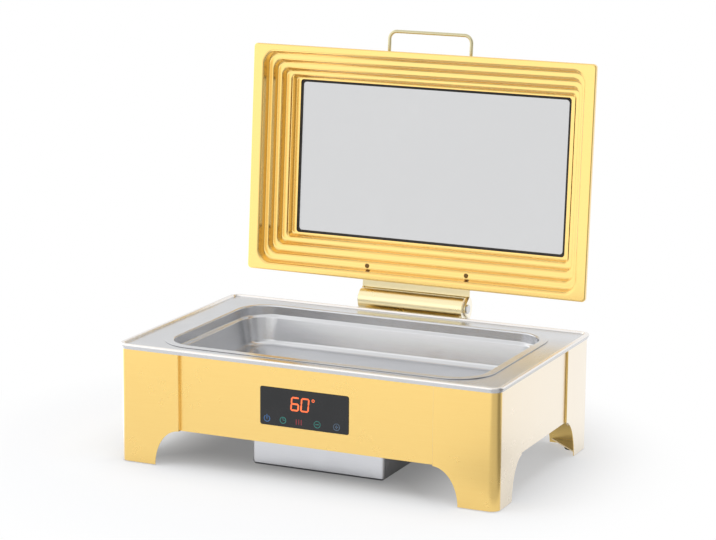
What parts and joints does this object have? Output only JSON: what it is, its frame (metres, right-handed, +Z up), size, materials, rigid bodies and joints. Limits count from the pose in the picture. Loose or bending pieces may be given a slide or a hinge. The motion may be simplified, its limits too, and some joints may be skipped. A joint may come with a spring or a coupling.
{
  "type": "electric chafing dish",
  "caption": "Countertop food warmer: gold steel body on four corner legs, heater slung underneath, water pan, food pan and a hinged lid with a glass window, shown open.",
  "frame": {"origin": "on the table, at the middle of the open dish's bounding box from left to right and from front to back", "axes": "+X to the right and +Z up as seen from the front, where the display is; +Y towards the hinge at the back"},
  "size_m": [0.614, 0.4849, 0.6156],
  "materials": {
    "gold_steel": "stainless steel with a bright satin gold coating",
    "steel": "bright stainless steel",
    "dark_steel": "dull steel",
    "cast_aluminium": "as cast",
    "brass": "bright",
    "black_rubber": "matt",
    "black_plastic": "satin",
    "nylon": "satin",
    "ceramic": "matt",
    "circuit_board": "lacquered",
    "cable_sleeve": "satin",
    "window_glass": "clear toughened",
    "display_glass": "printed black behind clear glass"
  },
  "bodies": {
    "base": {"leg_front_left": "gold_steel", "foot_pad_front_left": "black_rubber", "leg_front_right": "gold_steel", "foot_pad_front_right": "black_rubber", "leg_rear_left": "gold_steel", "foot_pad_rear_left": "black_rubber", "leg_rear_right": "gold_steel", "foot_pad_rear_right": "black_rubber", "side_panel_left": "gold_steel", "side_panel_right": "gold_steel", "front_panel": "gold_steel", "display_glass": "display_glass", "control_housing": "black_plastic", "control_board": "circuit_board", "power_relay": "black_plastic", "control_cover": "black_plastic", "water_pan": "steel", "heater_rail_left": "dark_steel", "heater_rail_right": "dark_steel", "heater_box": "steel", "insulation_board": "ceramic", "heating_plate": "cast_aluminium", "heating_element": "dark_steel", "thermal_cutout": "ceramic", "temperature_probe": "steel", "terminal_block": "ceramic", "cable_grommet": "black_rubber", "heater_cable": "cable_sleeve", "power_inlet": "black_plastic", "inlet_blade_live": "brass", "inlet_blade_neutral": "brass", "inlet_blade_earth": "brass", "mains_cable": "cable_sleeve", "hinge_screw_1": "steel", "hinge_screw_2": "steel", "hinge_screw_3": "steel", "hinge_screw_4": "steel", "rear_panel": "gold_steel", "hinge_base": "gold_steel", "hinge_bush_left": "nylon", "hinge_bush_right": "nylon", "hinge_damper": "dark_steel"},
    "food_pan": {"food_pan": "steel"},
    "lid": {"lid_shell": "gold_steel", "window_glass": "window_glass", "window_gasket": "black_rubber", "window_frame": "gold_steel", "lid_handle": "gold_steel", "handle_ferrule_left": "gold_steel", "handle_ferrule_right": "gold_steel", "lid_bracket": "gold_steel", "hinge_pin": "steel", "lid_bolt_left": "dark_steel", "lid_bolt_right": "dark_steel", "lid_nut_left": "steel", "lid_nut_right": "steel"}
  },
  "joints": [
    {"name": "lid_hinge", "type": "hinge", "parent": "base", "child": "lid", "pos_m": [0, 0.16198, 0.191], "axis": [-1, 0, 0], "range_deg": [-94, 0]},
    {"name": "food_pan_lift", "type": "slide", "parent": "base", "child": "food_pan", "axis": [0, 0, 1], "range_m": [0, 0.012]}
  ]
}
